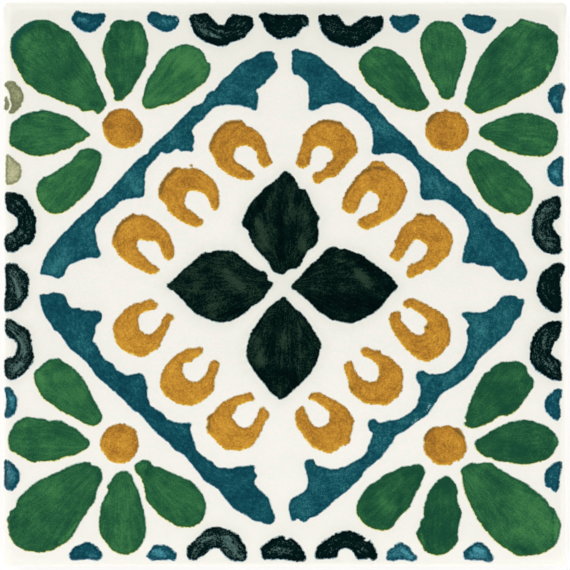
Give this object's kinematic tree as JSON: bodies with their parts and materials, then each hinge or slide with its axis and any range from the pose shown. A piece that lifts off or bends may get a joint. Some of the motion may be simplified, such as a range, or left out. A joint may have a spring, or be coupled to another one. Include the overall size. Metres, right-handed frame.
{
  "type": "handmade tile",
  "caption": "Square hand-painted glazed earthenware wall tile with cushioned edges, rounded corners and a flat unglazed back, for bonding to a wall or counter.",
  "frame": {"origin": "centre of the flat back, on the surface that the tile lies on", "axes": "+Z out of the painted face, +Y towards the top edge of the picture, +X towards its right edge"},
  "size_m": [0.105, 0.105, 0.0071],
  "materials": {
    "tin_glaze": "gloss",
    "bare_clay": "matte",
    "green_glaze": "gloss",
    "blue_glaze": "gloss",
    "ochre_glaze": "gloss",
    "black_glaze": "gloss"
  },
  "bodies": {
    "root": {"tile": "tin_glaze"}
  },
  "joints": []
}
